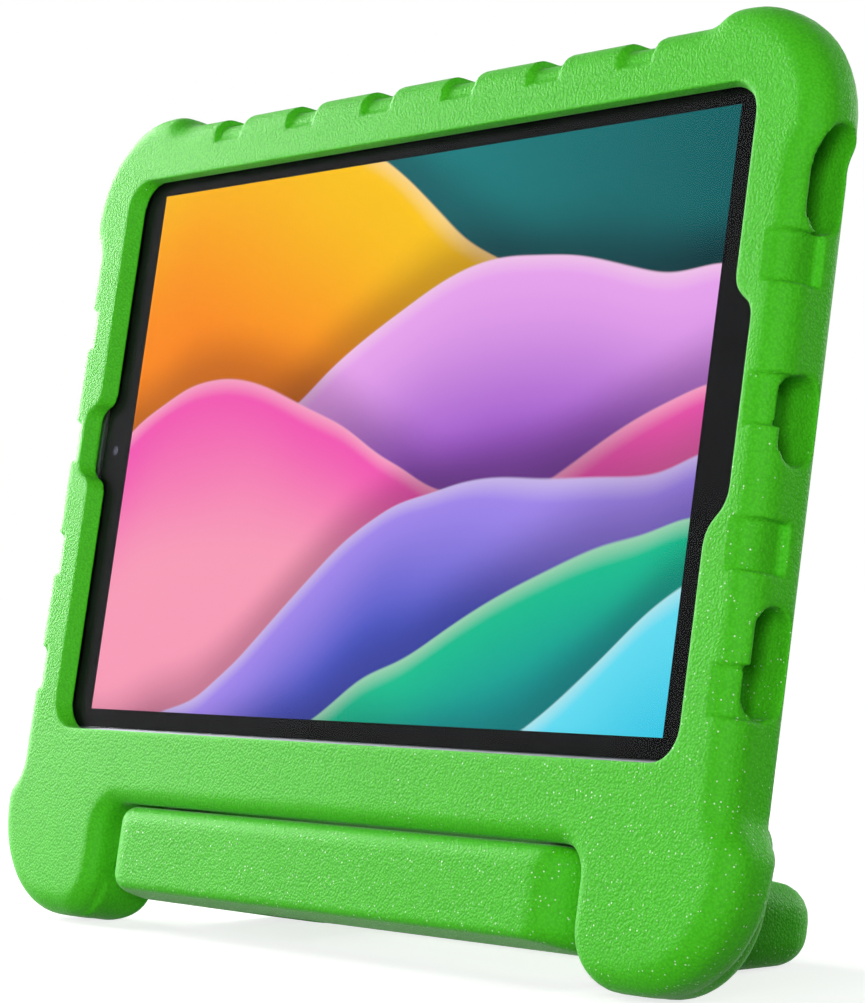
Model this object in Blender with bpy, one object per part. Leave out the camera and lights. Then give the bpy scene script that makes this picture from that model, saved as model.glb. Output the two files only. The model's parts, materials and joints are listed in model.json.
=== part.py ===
"""Foam tablet case for children, with the tablet in it and its folding handle out behind as a stand.

Everything is drawn in the frame of the case itself, in millimetres: X to the right, Y into the case
and away from the viewer with 0 on the face of the tablet's glass, Z up along the face with 0 at the
middle of the screen. The last step leans the whole case back on its feet and sets it on the table.
"""

import math

import bmesh
import bpy
import numpy as np
from mathutils import Matrix, Vector

MM = 0.001

# Tablet, a common 10.1 inch one
TABLET_W = 245.2
TABLET_H = 149.4
TABLET_T = 7.5
TABLET_CORNER = 7.0
TABLET_EDGE = 1.6
GLASS_INSET = 2.0
GLASS_W = TABLET_W - 2 * GLASS_INSET
GLASS_H = TABLET_H - 2 * GLASS_INSET
GLASS_CORNER = 5.6
GLASS_T = 0.7
BEZEL_SIDE = 11.9
BEZEL_TOP = 4.75
SCREEN_W = GLASS_W - 2 * BEZEL_SIDE
SCREEN_H = GLASS_H - 2 * BEZEL_TOP
PANEL_T = 1.4
LENS_IN = 7.5
LENS_X = LENS_IN - TABLET_W / 2
LENS_R = 1.7
LENS_LEN = 2.4

# Play between pieces that touch
PLAY = 0.3

# Case: faces
WALL_SIDE = 10.9
WALL_TOP = 11.5
WALL_BACK = 3.8
FRONT_Y = -4.0
POCKET_BACK = TABLET_T + PLAY
BACK_Y = POCKET_BACK + WALL_BACK
SIDE_X = TABLET_W / 2 + WALL_SIDE
TOP_Z = TABLET_H / 2 + WALL_TOP
FRONT_ROUND = 6.2
BACK_ROUND = 3.0
RECESS_ROUND = 4.4
RECESS_BACK_ROUND = 0.6
CORNER_BACK_ROUND = 6.5

# Case: bumps on the four corners
TOP_BUMP = 3.1
TOP_BUMP_IN = 36.5
TOP_BUMP_X = SIDE_X - TOP_BUMP_IN
SIDE_BUMP = 3.4
SIDE_BUMP_IN = 35.2
SIDE_BUMP_Z = TOP_Z - SIDE_BUMP_IN
CORNER_R = 28.0
BUMP_RUN = 9.6
FOOT_DROP = 46.5
FOOT_Z = -TABLET_H / 2 - FOOT_DROP
FOOT_R = 28.3
FOOT_BUMP = 5.0
FOOT_RUN = 11.5
FOOT_BUMP_Z = FOOT_Z + FOOT_R + FOOT_RUN

# Case: feet and the recess between them
FOOT_WIDE = 42.1
FOOT_INNER_X = SIDE_X - FOOT_WIDE
FOOT_INNER_R = 13.2
RECESS_DROP = 17.0
RECESS_Z = -TABLET_H / 2 - RECESS_DROP
RECESS_R = 7.0
FOOT_BACK = 5.0
FOOT_BACK_Y = BACK_Y + FOOT_BACK
FOOT_PAD_ROUND = 6.5
FOOT_PAD_INNER_ROUND = 1.2
FOOT_PAD_INSET = 6.0
FOOT_PAD_INNER_R = 10.5
FOOT_PAD_FRONT_Y = 2.0
FOOT_PAD_TUCK = 0.15
FOOT_PAD_CORNER = 8.0
FOOT_PAD_STEPS = 9
BRIDGE_H = 11.0
BRIDGE_TOP_ROUND = 3.0

# Window in front of the screen
LIP_SIDE = 4.2
LIP_TOP = 3.3
LIP_LOW = 1.0
WINDOW_HALF_W = TABLET_W / 2 - LIP_SIDE
WINDOW_TOP = TABLET_H / 2 - LIP_TOP
WINDOW_BOTTOM = LIP_LOW - TABLET_H / 2
WINDOW_CORNER = 8.0
WINDOW_TAPER_X = 2.7
WINDOW_TAPER_Z = 0.3
LENS_NOTCH = 5.8
LENS_NOTCH_Z = 1.7
LENS_NOTCH_FLAT = 10.5
LENS_NOTCH_RUN = 8.0
PORT_NOTCH = 5.9
PORT_NOTCH_TOP = 19.5
PORT_NOTCH_LOW = -16.0
PORT_NOTCH_RUN_TOP = 9.5
PORT_NOTCH_RUN_LOW = 12.5

# Grip grooves round the edge
GROOVE_W = 11.1
GROOVE_REACH = 7.3
GROOVE_SIDE = 2.0
GROOVE_FACE = 0.9
GROOVE_END_Y = 5.7
GROOVE_PITCH_TOP = 31.0
GROOVE_COUNT_TOP = 6
GROOVE_PITCH_SIDE = 30.2
GROOVE_COUNT_SIDE = 4
GROOVE_SIDE_Z = -12.8

# Openings in the right side for the speakers and the port
SLOT_FRONT = 0.1
SLOT_WIDE = 9.6
SPEAKER_LEN = 23.4
SPEAKER_TOP_IN = 24.9
SPEAKER_LOW_IN = 23.4
SPEAKER_TOP_Z = TABLET_H / 2 - SPEAKER_TOP_IN
SPEAKER_LOW_Z = SPEAKER_LOW_IN - TABLET_H / 2
PORT_LEN = 19.4
PORT_Z = -1.1
USB_LEN = 9.0
USB_T = 2.6
USB_DEEP = 6.0
VENT_LEN = 2.6
VENT_T = 1.2
VENT_DEEP = 1.5
VENT_PITCH = 3.6
VENT_COUNT = 5

# Opening in the back for the rear camera
REAR_LENS_IN_X = 18.6
REAR_LENS_IN_Z = 17.7
REAR_LENS_X = REAR_LENS_IN_X - TABLET_W / 2
REAR_LENS_Z = TABLET_H / 2 - REAR_LENS_IN_Z
REAR_HOLE_R = 9.0
REAR_RING_R = 5.5
REAR_RING_T = 0.8

# Handle
HANDLE_FACE_Y = -3.8
HANDLE_END_Y = 77.0
HANDLE_END_GAP = 4.4
HANDLE_HALF_W = FOOT_INNER_X - HANDLE_END_GAP
HANDLE_CORNER = 10.0
HANDLE_TOP_Z = RECESS_Z - PLAY
HANDLE_T = 22.5
HANDLE_LOW_Z = HANDLE_TOP_Z - HANDLE_T
HANDLE_CHIN = 2.0
HANDLE_CHIN_Y = 8.6
HANDLE_ARM_W = 21.0
HANDLE_OPEN_HALF = HANDLE_HALF_W - HANDLE_ARM_W
HANDLE_OPEN_Y0 = 11.2
HANDLE_OPEN_Y1 = 46.0
HANDLE_OPEN_CORNER = 9.0
HANDLE_OPEN_EDGE = 2.4
HANDLE_TOP_ROUND = 4.5
HANDLE_END_ROUND = 4.0
HANDLE_LOW_ROUND = 1.4
HANDLE_REAR_TOP_ROUND = 8.0
HANDLE_REAR_LOW_ROUND = 6.5

# Pivot of the handle in the feet
PIVOT_Y = 6.4
PIVOT_DROP = 15.0
PIVOT_Z = HANDLE_TOP_Z - PIVOT_DROP
PEG_R = 2.1
PEG_DEEP = 8.6
PEG_END = FOOT_INNER_X + PEG_DEEP
CHANNEL_SHORT = 3.0
CHANNEL_HALF = HANDLE_HALF_W - CHANNEL_SHORT
CHANNEL_PLAY = 0.2

# Standing: the case leans back and rests on the backs of its feet and on the handle's heel
LEAN_DEG = 10.0


def clear_scene():
    for thing in list(bpy.data.objects):
        bpy.data.objects.remove(thing, do_unlink=True)


# Outlines

def arc(cx, cz, r, a0, a1, n):
    """Points of an arc from angle a0 to a1 in degrees, both ends included."""
    return [
        (cx + r * math.cos(math.radians(a0 + (a1 - a0) * i / n)),
         cz + r * math.sin(math.radians(a0 + (a1 - a0) * i / n)))
        for i in range(n + 1)
    ]


def ease(start, end, n):
    """An S of two equal arcs from start to end that leaves and arrives along the longer of the two
    directions."""
    dx = end[0] - start[0]
    dz = end[1] - start[1]
    along_x = abs(dx) > abs(dz)
    run, rise = (dx, dz) if along_x else (dz, dx)
    radius = (run * run + rise * rise) / (4 * abs(rise))
    turn = math.asin(abs(run) / 2 / radius)
    points = []
    for i in range(2 * n + 1):
        if i <= n:
            t = turn * i / n
            u = radius * math.sin(t)
            v = radius * (1 - math.cos(t))
        else:
            t = turn * (2 * n - i) / n
            u = abs(run) - radius * math.sin(t)
            v = abs(rise) - radius * (1 - math.cos(t))
        u = math.copysign(u, run)
        v = math.copysign(v, rise)
        points.append((start[0] + u, start[1] + v) if along_x else (start[0] + v, start[1] + u))
    return points


def tidy(points, least=0.05):
    """The same closed outline without points that fall on each other."""
    kept = []
    for p in points:
        if not kept or math.dist(p, kept[-1]) > least:
            kept.append(p)
    if math.dist(kept[0], kept[-1]) <= least:
        kept.pop()
    return kept


def case_half():
    """Right half of the case seen from the front, from the top middle round to the recess's middle."""
    side = SIDE_X + SIDE_BUMP
    top = TOP_Z + TOP_BUMP
    foot = SIDE_X + FOOT_BUMP
    pts = [(0.0, TOP_Z)]
    pts += ease((TOP_BUMP_X, TOP_Z), (TOP_BUMP_X + BUMP_RUN, top), 5)
    pts += arc(side - CORNER_R, top - CORNER_R, CORNER_R, 90, 0, 12)
    pts += ease((side, SIDE_BUMP_Z + BUMP_RUN), (SIDE_X, SIDE_BUMP_Z), 5)
    pts += ease((SIDE_X, FOOT_BUMP_Z), (foot, FOOT_BUMP_Z - FOOT_RUN), 6)
    pts += arc(foot - FOOT_R, FOOT_Z + FOOT_R, FOOT_R, 0, -90, 16)[1:]
    pts += arc(FOOT_INNER_X + FOOT_INNER_R, FOOT_Z + FOOT_INNER_R, FOOT_INNER_R, -90, -180, 9)
    pts += arc(FOOT_INNER_X - RECESS_R, RECESS_Z - RECESS_R, RECESS_R, 0, 90, 6)
    pts.append((0.0, RECESS_Z))
    return pts


def case_outline():
    right = case_half()
    left = [(-x, z) for x, z in reversed(right[1:-1])]
    return tidy(right + left)


def normals_in(points):
    """Unit normals that point into the outline, at each of its points."""
    p = np.array(points)
    area = 0.5 * np.sum(p[:, 0] * np.roll(p[:, 1], -1) - np.roll(p[:, 0], -1) * p[:, 1])
    sign = 1.0 if area > 0 else -1.0
    forward = np.roll(p, -1, 0) - p
    forward /= np.linalg.norm(forward, axis=1)[:, None]
    back = np.roll(forward, 1, 0)
    n = np.stack([-(forward + back)[:, 1], (forward + back)[:, 0]], 1) * sign
    half = np.linalg.norm(forward + back, axis=1) / 2
    n /= np.linalg.norm(n, axis=1)[:, None]
    return n / half[:, None]


def rounded_box_outline(x0, x1, z0, z1, r, n=6):
    pts = arc(x1 - r, z1 - r, r, 90, 0, n)
    pts += arc(x1 - r, z0 + r, r, 0, -90, n)
    pts += arc(x0 + r, z0 + r, r, -90, -180, n)
    pts += arc(x0 + r, z1 - r, r, 180, 90, n)
    return tidy(pts)


def blend(a, b, share):
    return a + (b - a) * min(max(share, 0.0), 1.0)


# Solids

def new_object(name, bm):
    bmesh.ops.recalc_face_normals(bm, faces=bm.faces)
    mesh = bpy.data.meshes.new(name)
    bm.to_mesh(mesh)
    bm.free()
    thing = bpy.data.objects.new(name, mesh)
    bpy.context.scene.collection.objects.link(thing)
    return thing


def loft(rings, bm=None):
    """A closed solid through rings of points with the same count, capped at both ends."""
    bm = bm or bmesh.new()
    loops = [[bm.verts.new(p) for p in ring] for ring in rings]
    count = len(loops[0])
    for a, b in zip(loops, loops[1:]):
        for i in range(count):
            j = (i + 1) % count
            bm.faces.new((a[i], a[j], b[j], b[i]))
    bm.faces.new(list(reversed(loops[0])))
    bm.faces.new(loops[-1])
    return bm


def slab_rings(points, y_front, y_back, r_front, r_back, n_front=6, n_back=4):
    """Rings of a slab with its faces square to Y and its two edges rounded. The radii may be one
    number or one for each point."""
    p = np.array(points)
    n = normals_in(points)
    rf = np.broadcast_to(np.array(r_front, float), (len(p),))[:, None]
    rb = np.broadcast_to(np.array(r_back, float), (len(p),))[:, None]
    rings = []
    for i in range(n_front + 1):
        a = math.pi / 2 * (1 - i / n_front)
        flat = p + n * rf * (1 - math.cos(a))
        y = y_front + rf[:, 0] * (1 - math.sin(a))
        rings.append([(q[0], yy, q[1]) for q, yy in zip(flat, y)])
    for i in range(n_back + 1):
        a = math.pi / 2 * i / n_back
        flat = p + n * rb * (1 - math.cos(a))
        y = y_back - rb[:, 0] * (1 - math.sin(a))
        rings.append([(q[0], yy, q[1]) for q, yy in zip(flat, y)])
    return rings


def prism(points, axis, a, b, bm=None):
    """A straight solid: points are the two coordinates other than the axis, in the order X, Y, Z."""
    def put(p, v):
        return {"X": (v, p[0], p[1]), "Y": (p[0], v, p[1]), "Z": (p[0], p[1], v)}[axis]
    return loft([[put(p, a) for p in points], [put(p, b) for p in points]], bm)


def cut(target, cutter, operation="DIFFERENCE"):
    cutter.hide_render = True
    cutter.display_type = "WIRE"
    m = target.modifiers.new(cutter.name, "BOOLEAN")
    m.operation = operation
    m.solver = "EXACT"
    m.object = cutter


# Case body

def case_rounds(x, z):
    """Radii of the front and back edge of the case at a point of its outline."""
    recess = (FOOT_INNER_X + FOOT_INNER_R - abs(x)) / FOOT_INNER_R if z < RECESS_Z + 0.1 else 0.0
    corner = min((abs(x) - TOP_BUMP_X) / BUMP_RUN, (z - SIDE_BUMP_Z) / BUMP_RUN)
    foot = min((FOOT_BUMP_Z - z) / FOOT_RUN, (abs(x) - FOOT_INNER_X) / FOOT_R)
    front = blend(FRONT_ROUND, RECESS_ROUND, recess)
    back = blend(blend(BACK_ROUND, RECESS_BACK_ROUND, recess), CORNER_BACK_ROUND, max(corner, foot))
    return front, back


def case_shell():
    pts = case_outline()
    front, back = np.array([case_rounds(x, z) for x, z in pts]).T
    return new_object("case_body", loft(slab_rings(pts, FRONT_Y, BACK_Y, front, back)))


def foot_pads():
    """The thicker lower back of the case: the backs of the two feet, which carry the pivots and touch
    the table, and the bridge between them above the handle."""
    foot = SIDE_X + FOOT_BUMP - FOOT_PAD_INSET
    low = FOOT_Z + FOOT_PAD_TUCK
    inner = FOOT_INNER_X + FOOT_PAD_TUCK
    outer_r = FOOT_R - FOOT_PAD_INSET
    inner_r = FOOT_PAD_INNER_R
    corner = FOOT_PAD_CORNER
    under = RECESS_Z + FOOT_PAD_TUCK
    top = RECESS_Z + BRIDGE_H
    half = [(0.0, top)]
    half += arc(foot - corner, top - corner, corner, 90, 0, 5)
    half += arc(foot - outer_r, low + outer_r, outer_r, 0, -90, 12)
    half += arc(inner + inner_r, low + inner_r, inner_r, -90, -180, 8)
    half += arc(inner - RECESS_R, under - RECESS_R, RECESS_R, 0, 90, 6)
    half.append((0.0, under))
    pts = tidy(half + [(-x, z) for x, z in reversed(half[1:-1])])
    radii = []
    for x, z in pts:
        if z > top - 0.1:
            radii.append(BRIDGE_TOP_ROUND)
        elif abs(x) > inner:
            share = (inner + corner - abs(x)) / corner
            radii.append(blend(FOOT_PAD_ROUND, FOOT_PAD_INNER_ROUND, share))
        else:
            share = (inner - abs(x)) / RECESS_R
            radii.append(blend(FOOT_PAD_INNER_ROUND, RECESS_BACK_ROUND, share))
    rings = slab_rings(pts, FOOT_PAD_FRONT_Y, FOOT_BACK_Y, 0.0, radii, 1, FOOT_PAD_STEPS)[1:]
    return new_object("foot_pads", loft(rings))


def pocket_cutter():
    pts = rounded_box_outline(
        -TABLET_W / 2 - PLAY, TABLET_W / 2 + PLAY, -TABLET_H / 2 - PLAY, TABLET_H / 2 + PLAY,
        TABLET_CORNER + PLAY)
    return new_object("pocket_cut", prism(pts, "Y", -PLAY, POCKET_BACK))


def window_outline(grow):
    """The window at a depth where its walls have come in by the share `grow` of their full taper."""
    w = WINDOW_HALF_W - WINDOW_TAPER_X * grow
    top = WINDOW_TOP - WINDOW_TAPER_Z * grow
    low = WINDOW_BOTTOM + WINDOW_TAPER_Z * grow
    r = WINDOW_CORNER
    port = w + PORT_NOTCH
    lens = w + LENS_NOTCH
    half = LENS_NOTCH_FLAT / 2
    pts = arc(w - r, top - r, r, 90, 0, 7)
    pts += ease((w, PORT_NOTCH_TOP + PORT_NOTCH_RUN_TOP), (port, PORT_NOTCH_TOP), 4)
    pts += ease((port, PORT_NOTCH_LOW), (w, PORT_NOTCH_LOW - PORT_NOTCH_RUN_LOW), 4)
    pts += arc(w - r, low + r, r, 0, -90, 7)
    pts += arc(-w + r, low + r, r, -90, -180, 7)
    pts += ease((-w, LENS_NOTCH_Z - half - LENS_NOTCH_RUN), (-lens, LENS_NOTCH_Z - half), 4)
    pts += ease((-lens, LENS_NOTCH_Z + half), (-w, LENS_NOTCH_Z + half + LENS_NOTCH_RUN), 4)
    pts += arc(-w + r, top - r, r, 180, 90, 7)
    return tidy(pts)


def window_cutter():
    depth = -PLAY - FRONT_Y
    rings = []
    for grow in (-0.5, 1.4):
        rings.append([(x, FRONT_Y + depth * grow, z) for x, z in window_outline(grow)])
    return new_object("window_cut", loft(rings))


def stadium(c0, c1, half0, half1, n=7):
    """A slot with round ends, long along the second coordinate."""
    r = half0
    pts = arc(c0, c1 + half1 - r, r, 180, 0, n)
    pts += arc(c0, c1 - half1 + r, r, 0, -180, n)
    return tidy(pts)


def side_slots():
    bm = bmesh.new()
    middle = SLOT_FRONT + SLOT_WIDE / 2
    for z, length in ((SPEAKER_TOP_Z, SPEAKER_LEN), (PORT_Z, PORT_LEN), (SPEAKER_LOW_Z, SPEAKER_LEN)):
        prism(stadium(middle, z, SLOT_WIDE / 2, length / 2), "X", TABLET_W / 2 - 1, SIDE_X + 20, bm)
    return new_object("side_slot_cut", bm)


def groove_profile():
    """Section of a groove: distance in from the case's edge against depth."""
    centre_y = FRONT_Y + FRONT_ROUND
    floor = [
        (FRONT_ROUND - (FRONT_ROUND - GROOVE_SIDE) * math.sin(math.radians(a)),
         centre_y - (FRONT_ROUND - GROOVE_FACE) * math.cos(math.radians(a)))
        for a in (0, 18, 36, 54, 72, 90)
    ]
    start = [(-8.0, GROOVE_END_Y), (-8.0, FRONT_Y - 3), (GROOVE_REACH, FRONT_Y - 3)]
    return start + [(GROOVE_REACH, floor[0][1])] + floor + [(GROOVE_SIDE, GROOVE_END_Y)]


def groove_cutters():
    bm = bmesh.new()
    section = groove_profile()
    half = GROOVE_W / 2
    for k in range(GROOVE_COUNT_TOP):
        x = (k - (GROOVE_COUNT_TOP - 1) / 2) * GROOVE_PITCH_TOP
        loft([[(x + e, y, TOP_Z - s) for s, y in section] for e in (-half, half)], bm)
    for k in range(GROOVE_COUNT_SIDE):
        z = GROOVE_SIDE_Z + (k - (GROOVE_COUNT_SIDE - 1) / 2) * GROOVE_PITCH_SIDE
        for side in (1, -1):
            loft([[(side * (SIDE_X - s), y, z + e) for s, y in section] for e in (-half, half)], bm)
    return new_object("groove_cut", bm)


def swept_radius():
    """How far the bar's upper front edge reaches from the pivot as the handle turns."""
    r = HANDLE_TOP_ROUND
    return math.hypot(PIVOT_Y - HANDLE_FACE_Y - r, HANDLE_TOP_Z - r - PIVOT_Z) + r


def turned(stations, n, bm=None):
    """A round solid about the pivot through (x, radius) stations."""
    rings = []
    for x, r in stations:
        rings.append([(x, PIVOT_Y + r * math.cos(t), PIVOT_Z + r * math.sin(t))
                      for t in np.linspace(0, 2 * math.pi, n + 1)[:-1]])
    return loft(rings, bm)


def pivot_cutters():
    """The shallow round channel above the bar, in which it turns, and the sockets of its pegs."""
    r = swept_radius() + CHANNEL_PLAY
    bm = turned(((-CHANNEL_HALF, r), (CHANNEL_HALF, r)), 96)
    for side in (1, -1):
        turned(((side * HANDLE_HALF_W, PEG_R + PLAY), (side * (PEG_END + PLAY), PEG_R + PLAY)), 24, bm)
    return new_object("pivot_cut", bm)


def rear_hole_cutter():
    pts = arc(REAR_LENS_X, REAR_LENS_Z, REAR_HOLE_R, 0, 360, 32)[:-1]
    return new_object("rear_lens_cut", prism(pts, "Y", POCKET_BACK - 1, BACK_Y + 4))


def build_case():
    case = case_shell()
    cut(case, foot_pads(), "UNION")
    for cutter in (pocket_cutter(), window_cutter(), side_slots(), groove_cutters(),
                   pivot_cutters(), rear_hole_cutter()):
        cut(case, cutter)
    return case


# Handle

def heel_start():
    """Where the underside of the handle, flat so far, comes down to the table as the case leans."""
    a = math.radians(LEAN_DEG)
    return (-table_level() + HANDLE_LOW_Z * math.cos(a)) / math.sin(a)


def underside(y):
    """Height of the handle's underside: lifted under the bar's face, then flat, then rising so that
    its heel lies on the table."""
    chin = HANDLE_CHIN * max(0.0, HANDLE_CHIN_Y - y) / (HANDLE_CHIN_Y - HANDLE_FACE_Y)
    return HANDLE_LOW_Z + chin + max(0.0, y - heel_start()) * math.tan(math.radians(LEAN_DEG))


def split_at(points, level):
    """The closed outline with extra points where it crosses a level of its second coordinate."""
    out = []
    for p, q in zip(points, points[1:] + points[:1]):
        out.append(p)
        if (p[1] - level) * (q[1] - level) < 0:
            t = (level - p[1]) / (q[1] - p[1])
            out.append((p[0] + (q[0] - p[0]) * t, level))
    return out


def handle_rounds(x, y):
    """Radii of the upper and lower edge of the handle at a point of its outline."""
    end = (abs(x) - HANDLE_HALF_W + HANDLE_CORNER) / (HANDLE_CORNER / 2)
    rear = (y - PIVOT_Y) / (HANDLE_END_Y - HANDLE_CORNER - PIVOT_Y)
    upper = blend(HANDLE_TOP_ROUND, HANDLE_END_ROUND, end)
    lower = blend(HANDLE_LOW_ROUND, HANDLE_END_ROUND, end)
    return blend(upper, HANDLE_REAR_TOP_ROUND, rear), blend(lower, HANDLE_REAR_LOW_ROUND, rear)


def handle_ring(steps=5):
    """The solid handle before its opening is cut: rings from the underside to the top."""
    outline = rounded_box_outline(-HANDLE_HALF_W, HANDLE_HALF_W, HANDLE_FACE_Y, HANDLE_END_Y,
                                  HANDLE_CORNER, 8)
    pts = split_at(split_at(outline, heel_start()), HANDLE_CHIN_Y)
    p = np.array(pts)
    n = normals_in(pts)
    upper, lower = np.array([handle_rounds(x, y) for x, y in pts]).T
    rings = []
    for i in range(steps + 1):
        a = math.pi / 2 * (1 - i / steps)
        flat = p + n * (lower * (1 - math.cos(a)))[:, None]
        rings.append([(q[0], q[1], underside(q[1]) + r * (1 - math.sin(a)))
                      for q, r in zip(flat, lower)])
    for i in range(steps + 1):
        a = math.pi / 2 * i / steps
        flat = p + n * (upper * (1 - math.cos(a)))[:, None]
        rings.append([(q[0], q[1], HANDLE_TOP_Z - r * (1 - math.sin(a)))
                      for q, r in zip(flat, upper)])
    bm = loft(rings)
    bm.verts.ensure_lookup_table()
    for level in (heel_start(), HANDLE_CHIN_Y):
        pair = [v for v in bm.verts[:len(pts)] if abs(v.co.y - level) < 1e-4]
        bmesh.ops.connect_verts(bm, verts=pair)
    return new_object("handle", bm)


def build_handle():
    handle = handle_ring()
    cut(handle, handle_pegs(), "UNION")
    cut(handle, handle_opening())
    return handle


def handle_pegs():
    bm = bmesh.new()
    for side in (1, -1):
        turned(((side * (HANDLE_HALF_W - 3), PEG_R), (side * (PEG_END - 1), PEG_R),
                (side * PEG_END, PEG_R - 1)), 20, bm)
    return new_object("handle_pegs", bm)


def handle_opening():
    """The opening for the fingers, flared at both of its rims."""
    pts = rounded_box_outline(-HANDLE_OPEN_HALF, HANDLE_OPEN_HALF, HANDLE_OPEN_Y0, HANDLE_OPEN_Y1,
                              HANDLE_OPEN_CORNER, 6)
    p = np.array(pts)
    n = normals_in(pts)
    rings = []
    e = HANDLE_OPEN_EDGE
    levels = [(HANDLE_LOW_Z - 2.0, e), (HANDLE_LOW_Z, e)]
    levels += [(HANDLE_LOW_Z + e * math.sin(a), e * (1 - math.cos(math.pi / 2 - a)))
               for a in np.linspace(0.3, math.pi / 2, 4)]
    levels += [(HANDLE_TOP_Z - e * math.sin(a), e * (1 - math.cos(math.pi / 2 - a)))
               for a in np.linspace(math.pi / 2, 0.3, 4)]
    levels += [(HANDLE_TOP_Z, e), (HANDLE_TOP_Z + 2.0, e)]
    for z, out in levels:
        flat = p - n * out
        rings.append([(q[0], q[1], z) for q in flat])
    return new_object("handle_open_cut", loft(rings))


# Tablet

def build_tablet_body():
    pts = rounded_box_outline(-TABLET_W / 2, TABLET_W / 2, -TABLET_H / 2, TABLET_H / 2,
                              TABLET_CORNER, 6)
    body = new_object("tablet_body", loft(slab_rings(pts, 0.0, TABLET_T, 0.4, TABLET_EDGE, 2, 3)))
    seat = rounded_box_outline(-GLASS_W / 2 - PLAY, GLASS_W / 2 + PLAY, -GLASS_H / 2 - PLAY,
                               GLASS_H / 2 + PLAY, GLASS_CORNER + PLAY, 5)
    deep = GLASS_T + PANEL_T + 3 * PLAY
    cut(body, new_object("seat_cut", prism(seat, "Y", -1.0, deep)))
    cut(body, camera_cutter(deep))
    cut(body, ports_cutter())
    ring = arc(REAR_LENS_X, REAR_LENS_Z, REAR_RING_R, 0, 360, 28)[:-1]
    cut(body, new_object("rear_ring", prism(ring, "Y", TABLET_T - 1, TABLET_T + REAR_RING_T)), "UNION")
    lens = arc(REAR_LENS_X, REAR_LENS_Z, REAR_RING_R - 1.6, 0, 360, 28)[:-1]
    cut(body, new_object("rear_glass_cut", prism(lens, "Y", TABLET_T, TABLET_T + 3)))
    return body


def camera_cutter(deep):
    r = LENS_R + PLAY
    pts = arc(LENS_X, 0.0, r, 0, 360, 20)[:-1]
    y1 = GLASS_T + 2 * PLAY + LENS_LEN
    return new_object("lens_cut", prism(pts, "Y", deep - 0.5, y1))


def ports_cutter():
    bm = bmesh.new()
    middle = TABLET_T / 2 + 0.85
    edge = TABLET_W / 2 + 1
    prism(stadium(middle, PORT_Z, USB_T / 2, USB_LEN / 2), "X", edge - USB_DEEP, edge, bm)
    for z in (SPEAKER_TOP_Z, SPEAKER_LOW_Z):
        for k in range(VENT_COUNT):
            at = z + (k - (VENT_COUNT - 1) / 2) * VENT_PITCH
            prism(stadium(middle, at, VENT_T / 2, VENT_LEN / 2, 4), "X", edge - VENT_DEEP - 1, edge, bm)
    return new_object("ports_cut", bm)


def build_glass():
    pts = rounded_box_outline(-GLASS_W / 2, GLASS_W / 2, -GLASS_H / 2, GLASS_H / 2, GLASS_CORNER, 6)
    return new_object("tablet_glass", loft(slab_rings(pts, 0.0, GLASS_T, 0.35, 0.1, 2, 1)))


def build_screen():
    y = GLASS_T + PLAY
    pts = [(-SCREEN_W / 2, -SCREEN_H / 2), (SCREEN_W / 2, -SCREEN_H / 2),
           (SCREEN_W / 2, SCREEN_H / 2), (-SCREEN_W / 2, SCREEN_H / 2)]
    return new_object("tablet_screen", prism(pts, "Y", y, y + PANEL_T))


def build_lens():
    y = GLASS_T + PLAY
    pts = arc(LENS_X, 0.0, LENS_R, 0, 360, 20)[:-1]
    return new_object("front_camera", prism(pts, "Y", y, y + LENS_LEN))


# Materials

def linear(code):
    out = []
    for k in (0, 2, 4):
        c = int(code[k:k + 2], 16) / 255
        out.append(c / 12.92 if c <= 0.04045 else ((c + 0.055) / 1.055) ** 2.4)
    return (*out, 1.0)


def material(thing, name, colour, rough, metal=0.0):
    m = bpy.data.materials.new(name)
    m.use_nodes = True
    shader = m.node_tree.nodes["Principled BSDF"]
    shader.inputs["Base Color"].default_value = linear(colour)
    shader.inputs["Roughness"].default_value = rough
    shader.inputs["Metallic"].default_value = metal
    m.diffuse_color = linear(colour)
    thing.data.materials.append(m)


# Standing on the table

def lean_matrix():
    """The lean about X, without the move onto the table."""
    a = math.radians(LEAN_DEG)
    turn = Matrix(((1, 0, 0), (0, math.cos(a), math.sin(a)), (0, -math.sin(a), math.cos(a))))
    return turn.to_4x4()


def table_level():
    """Height of the table below the screen's middle, once the case leans: it touches the rounded
    lower backs of the feet."""
    a = math.radians(LEAN_DEG)
    r = FOOT_PAD_ROUND
    y = FOOT_BACK_Y - r
    z = FOOT_Z + FOOT_PAD_TUCK + r
    return z * math.cos(a) - y * math.sin(a) - r


def place(handle):
    """Leans everything back, sets it on the table over the middle of its outer size, and moves the
    handle's origin to its pivot."""
    lean = lean_matrix()
    front = min((lean @ v.co).y for v in bpy.data.objects["case_body"].data.vertices)
    rear = max((lean @ v.co).y for v in handle.data.vertices)
    stand = Matrix.Translation((0, -(front + rear) / 2, -table_level())) @ lean
    stand = Matrix.Scale(MM, 4) @ stand
    for thing in bpy.data.objects:
        thing.data.transform(stand)
    axis = stand @ Vector((0, PIVOT_Y, PIVOT_Z))
    for thing in [handle] + [m.object for m in handle.modifiers]:
        thing.data.transform(Matrix.Translation(-axis))
        thing.location = axis
    return axis


def shade(thing):
    for poly in thing.data.polygons:
        poly.use_smooth = True


def main():
    clear_scene()
    case = build_case()
    handle = build_handle()
    tablet = build_tablet_body()
    glass = build_glass()
    screen = build_screen()
    lens = build_lens()
    material(case, "green_foam", "5cc23b", 0.62)
    material(handle, "green_foam_handle", "62c841", 0.6)
    material(tablet, "grey_shell", "6f7074", 0.35, 0.8)
    material(glass, "black_glass", "201f22", 0.08)
    material(screen, "lit_screen", "c978b8", 0.3)
    material(lens, "lens_glass", "15161c", 0.06)
    axis = place(handle)
    for thing in (case, handle):
        shade(thing)
    print("pivot in metres", tuple(round(c, 6) for c in axis))


main()
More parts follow.
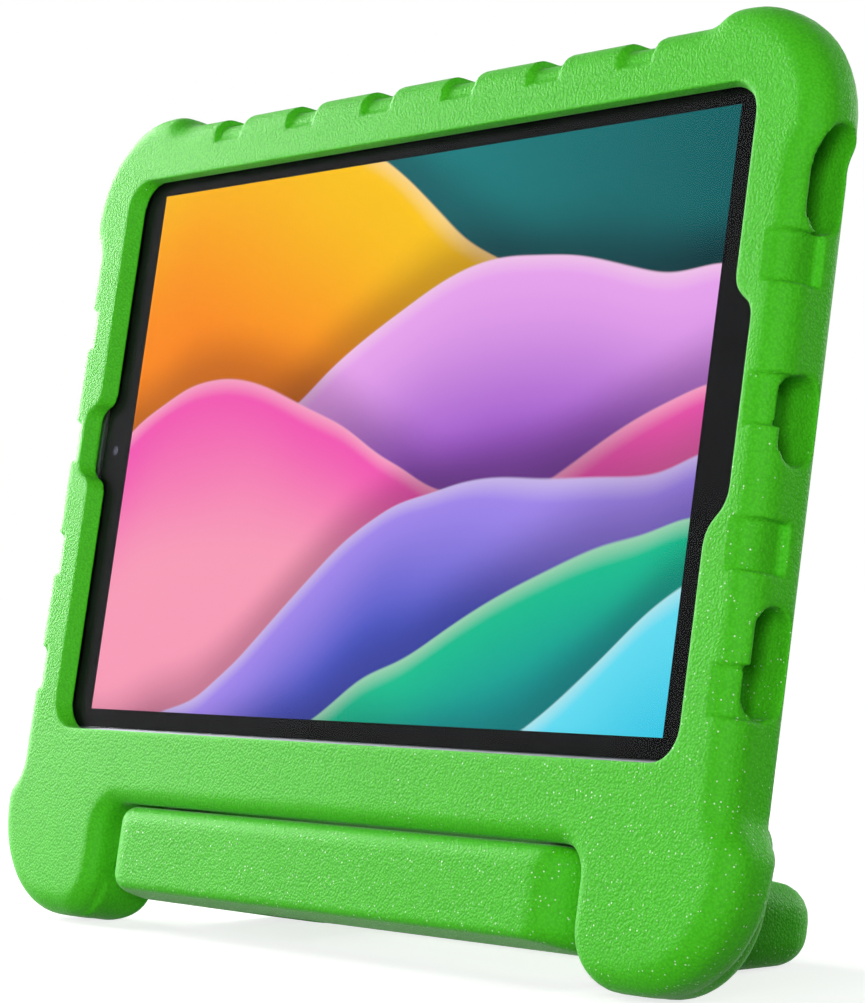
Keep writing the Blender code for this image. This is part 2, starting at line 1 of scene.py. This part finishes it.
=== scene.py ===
# %% [markdown]
# # A foam case for a child's tablet
# The real object is a tablet inside a thick case of green EVA foam. The foam is moulded in one
# piece, and a second moulded ring turns on two pegs in its feet, as a stand and as a handle.
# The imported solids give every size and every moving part. This lesson dresses them: soft foam
# skins, a printed frame below the cover glass, a lit picture, and plain studio light.

import json
import math

import bmesh
import bpy
from mathutils import Matrix, Vector


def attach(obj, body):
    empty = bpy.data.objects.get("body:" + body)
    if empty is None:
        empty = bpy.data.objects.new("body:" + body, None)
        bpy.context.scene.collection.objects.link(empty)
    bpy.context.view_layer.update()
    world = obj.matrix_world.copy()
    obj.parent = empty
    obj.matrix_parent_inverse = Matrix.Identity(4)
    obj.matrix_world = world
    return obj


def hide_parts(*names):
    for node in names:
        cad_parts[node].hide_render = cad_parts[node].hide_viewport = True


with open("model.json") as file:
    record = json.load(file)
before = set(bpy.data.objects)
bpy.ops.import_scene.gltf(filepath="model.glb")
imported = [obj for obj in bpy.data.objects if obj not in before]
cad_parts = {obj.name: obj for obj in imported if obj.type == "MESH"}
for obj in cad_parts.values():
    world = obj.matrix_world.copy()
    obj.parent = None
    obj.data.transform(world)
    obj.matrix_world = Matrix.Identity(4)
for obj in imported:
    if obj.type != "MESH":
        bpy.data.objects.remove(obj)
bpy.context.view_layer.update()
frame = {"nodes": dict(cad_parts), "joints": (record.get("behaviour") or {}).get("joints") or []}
print("solids:", sorted(frame["nodes"]))

# %% [markdown]
# ## Small helpers
# Colours are written as the hex values that a paint chart gives, and Blender's sockets want
# linear light, so one function turns one into the other. A second adds a node, sets it up and
# links it in one call, which keeps a long material readable. A third starts a material with
# its shader and the object's own coordinates, so that a pattern stays on the part as it moves.
# The others give one Math node, one Mix node, and the share of light that shows the backdrop.

# %% Colour, node and material helpers
MM = 0.001


def linear(hex_colour):
    """The linear red, green, blue and alpha of an sRGB hex colour."""
    shares = [int(hex_colour[i:i + 2], 16) / 255 for i in (1, 3, 5)]
    return tuple(s / 12.92 if s <= 0.04045 else ((s + 0.055) / 1.055) ** 2.4 for s in shares) + (1.0,)


def add(tree, kind, inputs=None, **settings):
    """Adds a node with its settings. A value of inputs is a number, a colour or another output."""
    node = tree.nodes.new(kind)
    for name, value in settings.items():
        setattr(node, name, value)
    for key, value in (inputs or {}).items():
        if isinstance(value, bpy.types.NodeSocket):
            tree.links.new(value, node.inputs[key])
        else:
            node.inputs[key].default_value = value
    return node


def new_material(name):
    """A material with one shader, and the object coordinates for its patterns."""
    material = bpy.data.materials.new(name)
    material.use_nodes = True
    tree = material.node_tree
    tree.nodes.clear()
    shader = add(tree, "ShaderNodeBsdfPrincipled")
    add(tree, "ShaderNodeOutputMaterial", {"Surface": shader.outputs["BSDF"]})
    place = add(tree, "ShaderNodeTexCoord").outputs["Object"]
    return material, tree, shader, place


# A colour Mix node has several sockets of one name, so they are called by number.
FACTOR, COLOUR_A, COLOUR_B, COLOUR_OUT = 0, 6, 7, 2


def math_of(tree, operation, *values, clamp=False):
    """The result of one Math node."""
    node = add(tree, "ShaderNodeMath", dict(enumerate(values)), operation=operation, use_clamp=clamp)
    return node.outputs[0]


def mix_colours(tree, factor, first, second, blend="MIX"):
    """The result of one colour Mix node."""
    inputs = {FACTOR: factor, COLOUR_A: first, COLOUR_B: second}
    return add(tree, "ShaderNodeMix", inputs, data_type="RGBA", blend_type=blend).outputs[COLOUR_OUT]


def backdrop_share(tree):
    """1 for the rays that show the white surroundings: seen straight on, mirrored or through glass."""
    path = add(tree, "ShaderNodeLightPath").outputs
    indirect = math_of(tree, "MAXIMUM", path["Is Glossy Ray"], path["Is Transmission Ray"])
    return math_of(tree, "MAXIMUM", path["Is Camera Ray"], indirect)


print("foam green in linear light:", [round(c, 3) for c in linear("#4BC61E")])

# %% [markdown]
# ## The case's own axes
# The case leans back on its heel, so no face of it lies along the world's axes. It is easier to
# think in the case's own axes: X to the right, Y into the case from the face of the glass, and
# Z up along the glass. The hinge of the handle is a known point in both, which fixes the turn.

# %% Place the case's axes in the world
LEAN = math.radians(10)
HINGE_IN_CASE = Vector((0.0, 6.4, -107.0)) * MM

hinge = Vector(frame["joints"][0]["pos_m"])
turn = Matrix.Rotation(-LEAN, 4, "X")
CASE = Matrix.Translation(hinge - turn @ HINGE_IN_CASE) @ turn
FACE_UP = (CASE.to_3x3() @ Vector((0, 0, 1))).normalized()
GLASS_CENTRE = CASE.to_translation()
print("middle of the glass in mm:", [round(1000 * v, 1) for v in GLASS_CENTRE])

# %% [markdown]
# ## The camera
# The picture was taken from low down, to the right of the front, with a long lens. The place,
# the turn and the lens come from a fit of the case's known corners, so that the case fills the
# frame as it does in the picture. A roll of a fraction of a degree is part of that fit.

# %% Set up the camera
CAMERA_PLACE = Vector((0.62137, -0.49896, 0.08682))
CAMERA_AZIMUTH = math.radians(51.386)
CAMERA_UPWARD = math.radians(1.173)
CAMERA_ROLL = math.radians(-0.15)

camera_data = bpy.data.cameras.new("studio_camera")
camera_data.lens = 120.17
camera_data.sensor_width = 36.0
camera_data.shift_x = 0.00094
camera_data.shift_y = 0.01009
camera_data.clip_start = 0.01
camera = bpy.data.objects.new("studio_camera", camera_data)
bpy.context.scene.collection.objects.link(camera)
camera.matrix_world = (
    Matrix.Translation(CAMERA_PLACE)
    @ Matrix.Rotation(CAMERA_AZIMUTH, 4, "Z")
    @ Matrix.Rotation(math.pi / 2 + CAMERA_UPWARD, 4, "X")
    @ Matrix.Rotation(CAMERA_ROLL, 4, "Z")
)
bpy.context.scene.camera = camera
print("camera to glass in mm:", round(1000 * (CAMERA_PLACE - GLASS_CENTRE).length))

# %% [markdown]
# ## Soft foam from hard solids
# Foam has no sharp edge: the mould's corners are rounded, and the skin swells a little as it
# cools. A Bevel would need clean edges, and the solids have the long thin faces of a CAD
# model. So each foam part is a merged copy of its solid, turned to the case's own axes, where
# the voxel grid of a Remesh lies along its flat faces. A Smooth then rounds what was sharp by
# about one voxel, and a Decimate takes out the faces that the flat parts don't need.

# %% Make the two foam parts
VOXEL = 0.55 * MM
SMOOTH_PASSES = 3
MERGE_WITHIN = 0.002 * MM


def foam_part(name, node, triangles):
    """A soft copy of one solid, in place, with at most that many triangles."""
    mesh = frame["nodes"][node].data.copy()
    mesh.name = name
    mesh.transform(CASE.inverted())
    edit = bmesh.new()
    edit.from_mesh(mesh)
    bmesh.ops.remove_doubles(edit, verts=edit.verts, dist=MERGE_WITHIN)
    edit.to_mesh(mesh)
    edit.free()
    part = bpy.data.objects.new(name, mesh)
    bpy.context.scene.collection.objects.link(part)
    remesh = part.modifiers.new("voxels", "REMESH")
    remesh.mode = "VOXEL"
    remesh.voxel_size = VOXEL
    smooth = part.modifiers.new("rounding", "SMOOTH")
    smooth.factor = 0.5
    smooth.iterations = SMOOTH_PASSES
    keep_result(part)
    found = 2 * len(part.data.polygons)
    if found > triangles:
        part.modifiers.new("thinning", "DECIMATE").ratio = triangles / found
        keep_result(part)
    part.data.transform(CASE)
    part.data.shade_smooth()
    print(name, "has", len(part.data.polygons), "faces, from", found)
    return part


def keep_result(part):
    """Makes the modifiers' result the part's own mesh, and removes them."""
    depsgraph = bpy.context.evaluated_depsgraph_get()
    result = bpy.data.meshes.new_from_object(part.evaluated_get(depsgraph))
    part.modifiers.clear()
    part.data = result


case_skin = foam_part("case_skin", "case_body", 150000)
handle_skin = foam_part("handle_skin", "handle", 50000)

# %% [markdown]
# ## EVA foam
# The parts are closed-cell EVA foam, moulded against a grit-blasted tool. That leaves a matt
# skin with fine round pebbles, which the eye reads as small shaded dots, stronger where the
# light skims the surface. The pebbles are a smooth Voronoi pattern about 0.6 mm across, and a
# finer noise breaks them up. The pits are painted a little darker, as painted shade. Here and
# there a white dot is a painted glint: near-white painted into the colour, on a skin that is
# also smoother there. Most of them lie low at the right foot, and on the handle they lie
# everywhere. A weak sheen stands for the cut cells, which pale the edges of the shape.

# %% Make the foam material
PEBBLE = 0.62 * MM
GRIT = 0.22 * MM
CLOUD = 24 * MM
GLINT_CELL = 0.95 * MM
PEBBLE_DEPTH = 0.17 * MM
GLINT_PLACE = Vector((118, -30, 30)) * MM
GLINT_NEAR = 35 * MM
GLINT_FAR = 105 * MM
# The radius of a painted glint is a share of its cell.
GLINT_RADIUS = 0.2
SKIN_ROUGHNESS = 0.46


def eva_foam(name, skin, pit_shade, most_glints, everywhere):
    """Moulded EVA foam with painted shade in its pits. Its painted glints thin out from GLINT_PLACE, or lie
    everywhere.

    most_glints is the share of the glint pattern's cells that hold a painted glint.
    """
    material, tree, shader, place = new_material(name)
    pebbles = add(tree, "ShaderNodeTexVoronoi",
                  {"Vector": place, "Scale": 1 / PEBBLE, "Smoothness": 0.6}, feature="SMOOTH_F1")
    grit = add(tree, "ShaderNodeTexNoise",
               {"Vector": place, "Scale": 1 / GRIT, "Detail": 2.0, "Roughness": 0.6})
    clouds = add(tree, "ShaderNodeTexNoise", {"Vector": place, "Scale": 1 / CLOUD, "Detail": 3.0})
    glint_cells = add(tree, "ShaderNodeTexVoronoi", {"Vector": place, "Scale": 1 / GLINT_CELL}, feature="F1")
    chance = add(tree, "ShaderNodeSeparateColor", {"Color": glint_cells.outputs["Color"]})
    share = most_glints
    if not everywhere:
        away = add(tree, "ShaderNodeVectorMath", {0: place, 1: GLINT_PLACE}, operation="DISTANCE")
        share = add(tree, "ShaderNodeMapRange", {
            "Value": away.outputs["Value"], "From Min": GLINT_NEAR, "From Max": GLINT_FAR,
            "To Min": most_glints, "To Max": 0.001}).outputs[0]
    chosen = math_of(tree, "LESS_THAN", chance.outputs[0], share)
    near = math_of(tree, "LESS_THAN", glint_cells.outputs["Distance"], GLINT_RADIUS)
    glint = math_of(tree, "MULTIPLY", near, chance.outputs[1])
    painted_glint = math_of(tree, "MULTIPLY", chosen, glint)
    height = math_of(tree, "MULTIPLY_ADD", grit.outputs["Fac"], 0.4,
                     math_of(tree, "SUBTRACT", 1.0, pebbles.outputs["Distance"]))
    bump = add(tree, "ShaderNodeBump", {"Height": height, "Distance": PEBBLE_DEPTH, "Strength": 0.8})
    # Painted shade: the pits of the pebbles take the darker colour.
    shaded_pits = add(tree, "ShaderNodeMapRange", {
        "Value": pebbles.outputs["Distance"], "From Min": 0.2, "From Max": 0.7})
    colour = mix_colours(tree, shaded_pits.outputs[0], linear(skin), linear(pit_shade))
    shade = add(tree, "ShaderNodeMapRange", {
        "Value": clouds.outputs["Fac"], "From Min": 0.3, "From Max": 0.7,
        "To Min": 0.98, "To Max": 1.02})
    tone = add(tree, "ShaderNodeHueSaturation", {"Value": shade.outputs[0], "Color": colour})
    # Painted glints: near-white is painted into the base colour at the chosen dots as painted highlights,
    # and the roughness is lowered there too.
    lit = mix_colours(tree, math_of(tree, "MULTIPLY", painted_glint, 0.85), tone.outputs[0], linear("#E4FFD8"))
    rough = math_of(tree, "MULTIPLY_ADD", grit.outputs["Fac"], 0.16, SKIN_ROUGHNESS)
    rough = math_of(tree, "MULTIPLY_ADD", painted_glint, -0.3, rough)
    tree.links.new(lit, shader.inputs["Base Color"])
    tree.links.new(rough, shader.inputs["Roughness"])
    tree.links.new(bump.outputs[0], shader.inputs["Normal"])
    shader.inputs["IOR"].default_value = 1.48
    shader.inputs["Specular IOR Level"].default_value = 0.14
    shader.inputs["Sheen Weight"].default_value = 0.16
    shader.inputs["Sheen Roughness"].default_value = 0.2
    print(name, "pebbles of", round(PEBBLE / MM, 2), "mm")
    return material


# The second colour is the painted shade of the pits.
case_foam = eva_foam("moulded_eva_foam", "#4BC61E", "#41B619", 0.40, False)
handle_foam = eva_foam("moulded_eva_foam_of_handle", "#4BC61E", "#41B619", 0.40, True)
for skin, node, body, finish, slot in (
        (case_skin, "case_body", "case", case_foam, "case_foam"),
        (handle_skin, "handle", "handle", handle_foam, "handle_foam")):
    skin.data.materials.clear()
    skin.data.materials.append(finish)
    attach(skin, body)
    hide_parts(node)

# %% [markdown]
# ## The tablet's shell
# A thin rim of the tablet's aluminium shell is seen along the window. The metal is blasted with
# fine beads and anodised grey, so it is satin, and it has a very fine grain and no scratches.

# %% Make the shell's metal
BEAD = 0.12 * MM
BEAD_DEPTH = 0.01 * MM


def anodised_aluminium(name, colour):
    """Bead-blasted and anodised aluminium."""
    material, tree, shader, place = new_material(name)
    beads = add(tree, "ShaderNodeTexNoise", {"Vector": place, "Scale": 1 / BEAD, "Detail": 2.0})
    tone = mix_colours(tree, beads.outputs["Fac"], linear(colour), linear("#8B8E94"))
    rough = math_of(tree, "MULTIPLY_ADD", beads.outputs["Fac"], 0.12, 0.3)
    bump = add(tree, "ShaderNodeBump", {
        "Height": beads.outputs["Fac"], "Distance": BEAD_DEPTH, "Strength": 0.5})
    tree.links.new(tone, shader.inputs["Base Color"])
    tree.links.new(rough, shader.inputs["Roughness"])
    tree.links.new(bump.outputs[0], shader.inputs["Normal"])
    shader.inputs["Metallic"].default_value = 1.0
    return material


shell_metal = anodised_aluminium("anodised_aluminium", "#70737A")
frame["nodes"]["tablet_body"].data.materials.clear()
frame["nodes"]["tablet_body"].data.materials.append(shell_metal)
print("shell:", shell_metal.name)

# %% [markdown]
# ## The cover glass
# The front of the tablet is one sheet of hardened glass, 0.7 mm thick, polished flat. It is
# clear, so the black frame seen through it isn't in the glass: it is ink on its back, which is
# the next piece. Plain glass has an IOR of 1.5 and would mirror the white room as a grey veil
# over the picture. The real sheet has a coating against reflections, and an IOR of 1.1 mirrors
# about as little as that. A touch of finger grease makes the gloss uneven.

# %% Make the glass
SMEAR = 18 * MM
COATED_IOR = 1.1


def cover_glass(name):
    """Hardened glass with a coating against reflections."""
    material, tree, shader, place = new_material(name)
    smears = add(tree, "ShaderNodeTexNoise", {
        "Vector": place, "Scale": 1 / SMEAR, "Detail": 4.0, "Distortion": 0.6})
    rough = add(tree, "ShaderNodeMapRange", {
        "Value": smears.outputs["Fac"], "From Min": 0.35, "From Max": 0.75,
        "To Min": 0.01, "To Max": 0.05})
    tree.links.new(rough.outputs[0], shader.inputs["Roughness"])
    shader.inputs["Base Color"].default_value = linear("#FBFDFE")
    shader.inputs["Transmission Weight"].default_value = 1.0
    shader.inputs["IOR"].default_value = COATED_IOR
    return material


glass = cover_glass("hardened_cover_glass")
frame["nodes"]["tablet_glass"].data.materials.clear()
frame["nodes"]["tablet_glass"].data.materials.append(glass)
print("glass:", glass.name)

# %% [markdown]
# ## The printed frame
# The black rim is screen-printed ink on the back of the glass, with a sharp-cornered opening
# for the picture and a round one for the camera. It is a flat shape that follows from six
# sizes, so a Geometry Nodes tree draws it: two rectangles and a circle as curves, filled so
# that what lies inside is a hole, and given the thickness of a coat of ink and its backing.

# %% Draw the printed frame with Geometry Nodes
FRAME_SIZES = {
    "Glass Width": 240.8 * MM,
    "Glass Height": 145.0 * MM,
    "Glass Corner": 5.4 * MM,
    "Picture Width": 217.4 * MM,
    "Picture Height": 135.9 * MM,
    "Lens Radius": 1.25 * MM,
    "Lens Offset": -115.1 * MM,
    "Ink Thickness": 0.08 * MM,
}
INK_BACK = 0.84 * MM
INK_CLOUD = 6 * MM


def printed_frame_tree(ink):
    """The tree of the printed frame, drawn flat round the middle of the glass."""
    tree = bpy.data.node_groups.new("printed_frame", "GeometryNodeTree")
    tree.interface.new_socket("Geometry", in_out="OUTPUT", socket_type="NodeSocketGeometry")
    for name in FRAME_SIZES:
        tree.interface.new_socket(name, in_out="INPUT", socket_type="NodeSocketFloat")
    size = add(tree, "NodeGroupInput").outputs
    rim = add(tree, "GeometryNodeCurvePrimitiveQuadrilateral",
              {"Width": size["Glass Width"], "Height": size["Glass Height"]})
    rim = add(tree, "GeometryNodeFilletCurve",
              {"Curve": rim.outputs[0], "Radius": size["Glass Corner"], "Count": 8}, mode="POLY")
    picture = add(tree, "GeometryNodeCurvePrimitiveQuadrilateral",
                  {"Width": size["Picture Width"], "Height": size["Picture Height"]})
    lens = add(tree, "GeometryNodeCurvePrimitiveCircle", {"Resolution": 32, "Radius": size["Lens Radius"]})
    aside = add(tree, "ShaderNodeCombineXYZ", {"X": size["Lens Offset"]})
    lens = add(tree, "GeometryNodeTransform",
               {"Geometry": lens.outputs[0], "Translation": aside.outputs[0]})
    curves = add(tree, "GeometryNodeJoinGeometry")
    for part in (rim, picture, lens):
        tree.links.new(part.outputs[0], curves.inputs[0])
    sheet = add(tree, "GeometryNodeFillCurve", {"Curve": curves.outputs[0]}, mode="TRIANGLES")
    raised = add(tree, "GeometryNodeExtrudeMesh",
                 {"Mesh": sheet.outputs[0], "Offset Scale": size["Ink Thickness"], "Individual": False})
    under = add(tree, "GeometryNodeFlipFaces", {"Mesh": sheet.outputs[0]})
    both = add(tree, "GeometryNodeJoinGeometry")
    for part in (raised, under):
        tree.links.new(part.outputs[0], both.inputs[0])
    closed = add(tree, "GeometryNodeMergeByDistance", {"Geometry": both.outputs[0], "Distance": 0.001 * MM})
    real = add(tree, "GeometryNodeRealizeInstances", {"Geometry": closed.outputs[0]})
    inked = add(tree, "GeometryNodeSetMaterial", {"Geometry": real.outputs[0], "Material": ink})
    add(tree, "NodeGroupOutput", {"Geometry": inked.outputs[0]})
    return tree


def screen_ink(name):
    """Screen-printed black ink behind glass: deep black, with the faint cloud of the print.

    It sticks to the glass with no air between them, so it has no mirror of its own.
    """
    material, tree, shader, place = new_material(name)
    print_cloud = add(tree, "ShaderNodeTexNoise", {"Vector": place, "Scale": 1 / INK_CLOUD, "Detail": 3.0})
    colour = mix_colours(tree, print_cloud.outputs["Fac"], linear("#0C0C0D"), linear("#131314"))
    rough = math_of(tree, "MULTIPLY_ADD", print_cloud.outputs["Fac"], 0.1, 0.4)
    tree.links.new(colour, shader.inputs["Base Color"])
    tree.links.new(rough, shader.inputs["Roughness"])
    shader.inputs["Specular IOR Level"].default_value = 0.0
    return material


printed_frame = bpy.data.objects.new("printed_frame", bpy.data.meshes.new("printed_frame"))
bpy.context.scene.collection.objects.link(printed_frame)
drawing = printed_frame.modifiers.new("drawing", "NODES")
drawing.node_group = printed_frame_tree(screen_ink("screen_printed_ink"))
for socket in drawing.node_group.interface.items_tree:
    if socket.name in FRAME_SIZES:
        drawing[socket.identifier] = FRAME_SIZES[socket.name]
keep_result(printed_frame)
upright = Matrix.Translation((0, INK_BACK, 0)) @ Matrix.Rotation(math.pi / 2, 4, "X")
printed_frame.data.transform(CASE @ upright)
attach(printed_frame, "case")
print("printed frame faces:", len(printed_frame.data.polygons))

# %% [markdown]
# ## The picture on the screen
# The panel shines by itself, so its picture is emission at a strength of 1, over the black of
# the panel. The picture is a plain design of overlapping waves in warm and cool colours. Each
# wave is one crest line: what lies below it takes the wave's colour, lighter along the crest
# and deeper below, and what lies just above it gets a soft shadow. Width and height on the
# screen come from the object coordinates, measured along the leaning face. The panel is bonded
# to the glass with no air between them, so it has no mirror of its own.

# %% Make the lit picture
PICTURE_W = FRAME_SIZES["Picture Width"]
PICTURE_H = FRAME_SIZES["Picture Height"]
WOBBLE_SIZE = 70 * MM
FILM_CLOUD = 9 * MM
# Shares of the picture's height: how far the crests stray, the shadow above one, the light on it.
WOBBLE = 0.08
SHADOW_REACH = 0.13
CREST_LIGHT = 0.035
# Crest height at the left, slope, swing, waves across, start of the wave, colour at the crest,
# colour below, and how far down that colour is reached.
WAVES = [
    (1.14, -0.40, 0.08, 0.9, 0.08, "#FFC60E", "#FF8A0C", 0.50),
    (0.54, 0.26, 0.10, 1.0, 0.62, "#EBA4EE", "#A058CC", 0.38),
    (0.56, -0.12, 0.10, 1.2, 0.97, "#F653B2", "#FC9CB8", 0.34),
    (0.00, 0.50, 0.09, 1.1, 0.60, "#A488EC", "#4A58C8", 0.24),
    (-0.18, 0.50, 0.06, 1.2, 0.30, "#0CBF90", "#089C9A", 0.22),
    (-0.36, 0.54, 0.05, 1.3, 0.80, "#62DDF2", "#2AC2E2", 0.26),
]


def lit_picture(name):
    """A lit panel with a picture of overlapping waves."""
    material, tree, shader, place = new_material(name)
    away = add(tree, "ShaderNodeVectorMath", {0: place, 1: GLASS_CENTRE}, operation="SUBTRACT")
    across = add(tree, "ShaderNodeSeparateXYZ", {0: away.outputs[0]}).outputs["X"]
    upward = add(tree, "ShaderNodeVectorMath", {0: away.outputs[0], 1: FACE_UP}, operation="DOT_PRODUCT")
    wobble = add(tree, "ShaderNodeTexNoise", {
        "Vector": place, "Scale": 1 / WOBBLE_SIZE, "Detail": 1.0, "Distortion": 0.4})
    u = math_of(tree, "MULTIPLY_ADD", across, 1 / PICTURE_W, 0.5)
    v = math_of(tree, "MULTIPLY_ADD", upward.outputs["Value"], 1 / PICTURE_H, 0.5)
    v = math_of(tree, "ADD", v, math_of(tree, "MULTIPLY_ADD", wobble.outputs["Fac"], 2 * WOBBLE, -WOBBLE))
    picture = mix_colours(tree, u, linear("#17999A"), linear("#0E5F62"))
    for start, slope, swing, count, phase, crest_colour, deep_colour, reach in WAVES:
        angle = math_of(tree, "MULTIPLY_ADD", u, count * math.tau, phase * math.tau)
        line = math_of(tree, "MULTIPLY_ADD", math_of(tree, "SINE", angle), swing,
                       math_of(tree, "MULTIPLY_ADD", u, slope, start))
        below = math_of(tree, "SUBTRACT", line, v)
        shadow = add(tree, "ShaderNodeMapRange", {
            "Value": below, "From Min": -SHADOW_REACH, "From Max": 0.0, "To Min": 0.0, "To Max": 0.45},
            interpolation_type="SMOOTHSTEP")
        picture = mix_colours(tree, shadow.outputs[0], picture, linear("#5A1E5C"), "MULTIPLY")
        inside = add(tree, "ShaderNodeMapRange", {"Value": below, "From Min": -0.002, "From Max": 0.004},
                     interpolation_type="SMOOTHSTEP")
        deeper = add(tree, "ShaderNodeMapRange", {"Value": below, "From Max": reach},
                     interpolation_type="SMOOTHSTEP")
        sheen = add(tree, "ShaderNodeMapRange", {
            "Value": below, "From Max": CREST_LIGHT, "To Min": 0.35, "To Max": 0.0})
        wave = mix_colours(tree, deeper.outputs[0], linear(crest_colour), linear(deep_colour))
        wave = mix_colours(tree, sheen.outputs[0], wave, linear("#FFF4E0"))
        picture = mix_colours(tree, inside.outputs[0], picture, wave)
    film = add(tree, "ShaderNodeTexNoise", {"Vector": place, "Scale": 1 / FILM_CLOUD})
    rough = math_of(tree, "MULTIPLY_ADD", film.outputs["Fac"], 0.1, 0.25)
    tree.links.new(picture, shader.inputs["Emission Color"])
    tree.links.new(rough, shader.inputs["Roughness"])
    shader.inputs["Base Color"].default_value = linear("#050506")
    shader.inputs["Emission Strength"].default_value = 1.0
    shader.inputs["Specular IOR Level"].default_value = 0.0
    return material


panel = lit_picture("lit_display_panel")
frame["nodes"]["tablet_screen"].data.materials.clear()
frame["nodes"]["tablet_screen"].data.materials.append(panel)
print("waves on the screen:", len(WAVES))

# %% [markdown]
# ## The small camera
# A front camera is a dark barrel with a coated lens in it. From outside it is a black dot with
# a violet glint, inside a thin grey ring that is lighter than the ink round it.

# %% Make the lens
LENS_DEPTH = 1.0 * MM
PUPIL_RADIUS = 0.6 * MM
BARREL_RADIUS = 0.75 * MM
LENS_CENTRE = CASE @ Vector((FRAME_SIZES["Lens Offset"], LENS_DEPTH, 0.0))


def coated_lens(name):
    """A dark barrel round a coated lens, drawn by the distance from its middle."""
    material, tree, shader, place = new_material(name)
    out = add(tree, "ShaderNodeVectorMath", {0: place, 1: LENS_CENTRE}, operation="DISTANCE")
    ring = add(tree, "ShaderNodeMapRange", {
        "Value": out.outputs["Value"], "From Min": PUPIL_RADIUS, "From Max": BARREL_RADIUS},
        interpolation_type="SMOOTHSTEP")
    colour = mix_colours(tree, ring.outputs[0], linear("#14101F"), linear("#4A4C50"))
    rough = math_of(tree, "MULTIPLY_ADD", ring.outputs[0], 0.3, 0.06)
    tree.links.new(colour, shader.inputs["Base Color"])
    tree.links.new(rough, shader.inputs["Roughness"])
    shader.inputs["Coat Weight"].default_value = 0.6
    shader.inputs["Coat Roughness"].default_value = 0.03
    shader.inputs["Coat Tint"].default_value = linear("#C9B8FF")
    return material


lens_glass = coated_lens("coated_lens")
frame["nodes"]["front_camera"].data.materials.clear()
frame["nodes"]["front_camera"].data.materials.append(lens_glass)
print("lens:", lens_glass.name)

# %% [markdown]
# ## Floor and background
# The case stands on a pale floor, before a white background. The camera sees the floor as
# nearly white, with the case's soft shadow on it, and it turns to full white further out, so
# that no horizon shows. The light that the floor throws back is that of a grey one, so that the
# undersides of the case stay dark, as they are in the picture.

# %% Lay the floor and set the world
FLOOR_HALF = 12.0
NEAR_CASE = 0.22
FAR_OUT = 0.75
GLOW_NEAR_CASE = 0.76
AMBIENT = 0.05

floor_mesh = bpy.data.meshes.new("floor")
corners = [(-FLOOR_HALF, -FLOOR_HALF, 0), (FLOOR_HALF, -FLOOR_HALF, 0),
           (FLOOR_HALF, FLOOR_HALF, 0), (-FLOOR_HALF, FLOOR_HALF, 0)]
floor_mesh.from_pydata(corners, [], [(0, 1, 2, 3)])
floor = bpy.data.objects.new("floor", floor_mesh)
bpy.context.scene.collection.objects.link(floor)

paper = bpy.data.materials.new("white_paper_sweep")
paper.use_nodes = True
tree = paper.node_tree
tree.nodes.clear()
out = add(tree, "ShaderNodeVectorMath", {0: add(tree, "ShaderNodeTexCoord").outputs["Object"]},
          operation="LENGTH")
level = add(tree, "ShaderNodeMapRange", {
    "Value": out.outputs["Value"], "From Min": NEAR_CASE, "From Max": FAR_OUT,
    "To Min": GLOW_NEAR_CASE, "To Max": 1.0})
matt = add(tree, "ShaderNodeBsdfDiffuse", {"Color": linear("#8A8A8A")})
pale = add(tree, "ShaderNodeBsdfDiffuse", {"Color": linear("#A8A8A8")})
glow = add(tree, "ShaderNodeEmission", {"Color": linear("#FFFFFF"), "Strength": level.outputs[0]})
shown = add(tree, "ShaderNodeAddShader", {0: pale.outputs[0], 1: glow.outputs[0]})
both = add(tree, "ShaderNodeMixShader", {0: backdrop_share(tree), 1: matt.outputs[0], 2: shown.outputs[0]})
add(tree, "ShaderNodeOutputMaterial", {"Surface": both.outputs[0]})
floor.data.materials.append(paper)

world = bpy.data.worlds.new("studio")
world.use_nodes = True
tree = world.node_tree
tree.nodes.clear()
dim = add(tree, "ShaderNodeBackground", {"Color": linear("#FFFFFF"), "Strength": AMBIENT})
white = add(tree, "ShaderNodeBackground", {"Color": linear("#FFFFFF"), "Strength": 1.0})
both = add(tree, "ShaderNodeMixShader", {0: backdrop_share(tree), 1: dim.outputs[0], 2: white.outputs[0]})
add(tree, "ShaderNodeOutputWorld", {"Surface": both.outputs[0]})
bpy.context.scene.world = world
print("ambient light:", AMBIENT)

# %% [markdown]
# ## Studio light
# A strong soft box stands to the left, almost in the plane of the front. It skims the foam, so
# that the pebbles show, and the front is brightest at its left and falls off to the right. It
# also stays out of the cone of directions that the glass mirrors into the camera. A soft box
# beside the camera opens the right side and the cut-outs in it, a weak one stands in front, and
# one behind the case lights its back and draws the pale rims along the right side.

# %% Place the lights
def soft_box(name, place, aim, size, power):
    """A square area light that looks at a point. Size in metres, power in watts."""
    light = bpy.data.lights.new(name, "AREA")
    light.shape = "SQUARE"
    light.size = size
    light.energy = power
    lamp = bpy.data.objects.new(name, light)
    bpy.context.scene.collection.objects.link(lamp)
    direction = Vector(aim) - Vector(place)
    turned = direction.to_track_quat("-Z", "Y").to_matrix().to_4x4()
    lamp.matrix_world = Matrix.Translation(place) @ turned


CASE_MIDDLE = (0.0, 0.0, 0.10)
RIGHT_SIDE = (0.1, 0.0, 0.10)
soft_box("left_light", (-0.75, -0.08, 0.30), CASE_MIDDLE, 0.5, 14.0)
soft_box("front_light", (0.05, -0.90, 0.25), CASE_MIDDLE, 0.5, 1.5)
soft_box("camera_fill", (0.78, -0.84, 0.30), CASE_MIDDLE, 0.4, 7.6)
soft_box("rim_light", (0.18, 1.00, 0.35), RIGHT_SIDE, 0.35, 5.0)

# %% [markdown]
# ## Finish
# The view transform is Standard, so that a colour comes out as it is written.

# %% Finish
bpy.context.scene.view_settings.view_transform = "Standard"
